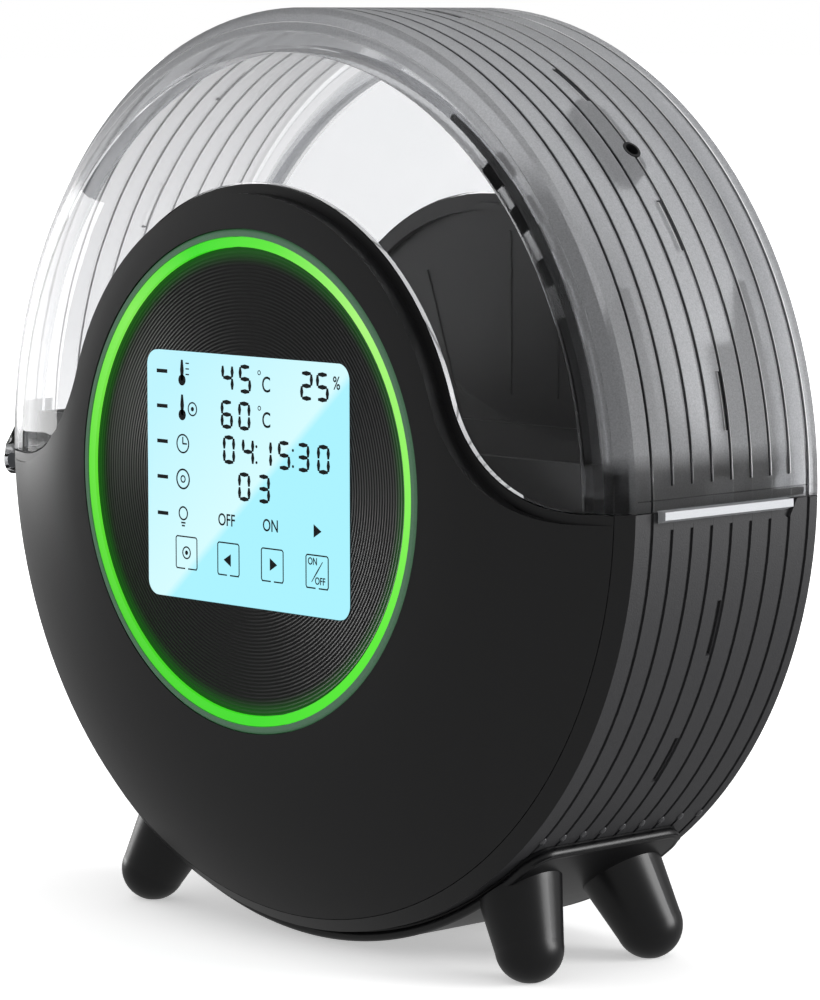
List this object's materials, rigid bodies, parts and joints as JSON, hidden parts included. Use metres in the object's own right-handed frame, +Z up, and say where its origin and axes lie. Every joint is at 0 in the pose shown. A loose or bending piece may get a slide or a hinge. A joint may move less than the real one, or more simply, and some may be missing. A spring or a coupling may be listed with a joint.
{
  "type": "filament dryer box",
  "caption": "Round drum-shaped filament dryer on a splayed stand, with a clear hinged lid, a heated spool bay with rollers and a lit round touch panel.",
  "frame": {"origin": "on the table, in the middle of the four feet and under the drum's axis", "axes": "+X to the right of someone facing the control panel, +Y towards the back along the drum's axis, +Z up"},
  "size_m": [0.2958, 0.1061, 0.285],
  "materials": {
    "satin_black": "satin moulded ABS",
    "rim_black": "fine-textured moulded ABS",
    "tub_black": "moulded high-temperature plastic",
    "disc_black": "fine turned grooves",
    "stand_black": "glossy moulded ABS",
    "clear_lid": "clear polycarbonate",
    "smoky_lid": "frosted smoky polycarbonate",
    "pull_silver": "silver painted plastic",
    "light_green": "lit light guide",
    "bezel_green": "translucent edge of the light guide",
    "screen_lit": "lit liquid crystal screen under touch glass",
    "aluminium_sheet": "rolled sheet",
    "heater_film": "polyimide film",
    "board_green": "circuit board",
    "chip_white": "light chips",
    "module_grey": "display housing",
    "steel_bright": "ground steel rod",
    "screw_steel": "zinc-plated steel",
    "screw_black": "black oxide steel",
    "roller_black": "acetal",
    "seal_rubber": "silicone rubber",
    "ceramic_white": "ceramic thermal cut-out"
  },
  "bodies": {
    "base": {"front_shell": "satin_black", "base_rim": "rim_black", "back_shell": "satin_black", "inner_tub": "tub_black", "guide_fins": "tub_black", "heater_plate": "aluminium_sheet", "heater_film": "heater_film", "thermal_cutout": "ceramic_white", "bay_sensor": "board_green", "roller_shafts": "steel_bright", "panel_back": "tub_black", "face_disc": "disc_black", "light_ring": "light_green", "ring_bezel": "bezel_green", "touch_glass": "screen_lit", "display_module": "module_grey", "light_board": "board_green", "light_chips": "chip_white", "display_board": "board_green", "flex_cable": "heater_film", "power_board": "board_green", "board_screws": "screw_steel", "dc_inlet": "roller_black", "stand": "stand_black", "stand_screws": "screw_steel", "back_screws": "screw_black", "hinge_brackets": "rim_black", "hinge_pins": "steel_bright"},
    "lid": {"lid_rim": "smoky_lid", "front_pane": "clear_lid", "back_pane": "clear_lid", "lid_pull": "pull_silver", "lid_catch": "rim_black", "lid_hinge_arms": "clear_lid", "pane_trim": "seal_rubber", "lid_seal": "seal_rubber", "outlet_tray": "tub_black"},
    "roller_front_left_body": {"roller_front_left": "roller_black"},
    "roller_front_right_body": {"roller_front_right": "roller_black"},
    "roller_back_left_body": {"roller_back_left": "roller_black"},
    "roller_back_right_body": {"roller_back_right": "roller_black"}
  },
  "joints": [
    {"name": "lid_hinge", "type": "hinge", "parent": "base", "child": "lid", "pos_m": [-0.148, 0, 0.1378], "axis": [0, -1, 0], "range_deg": [0, 95]},
    {"name": "roller_front_left_spin", "type": "hinge", "parent": "base", "child": "roller_front_left_body", "pos_m": [-0.06081, -0.03, 0.05118], "axis": [0, 1, 0], "continuous": true},
    {"name": "roller_front_right_spin", "type": "hinge", "parent": "base", "child": "roller_front_right_body", "pos_m": [0.06081, -0.03, 0.05118], "axis": [0, 1, 0], "continuous": true},
    {"name": "roller_back_left_spin", "type": "hinge", "parent": "base", "child": "roller_back_left_body", "pos_m": [-0.06081, 0.03, 0.05118], "axis": [0, 1, 0], "continuous": true},
    {"name": "roller_back_right_spin", "type": "hinge", "parent": "base", "child": "roller_back_right_body", "pos_m": [0.06081, 0.03, 0.05118], "axis": [0, 1, 0], "continuous": true}
  ]
}
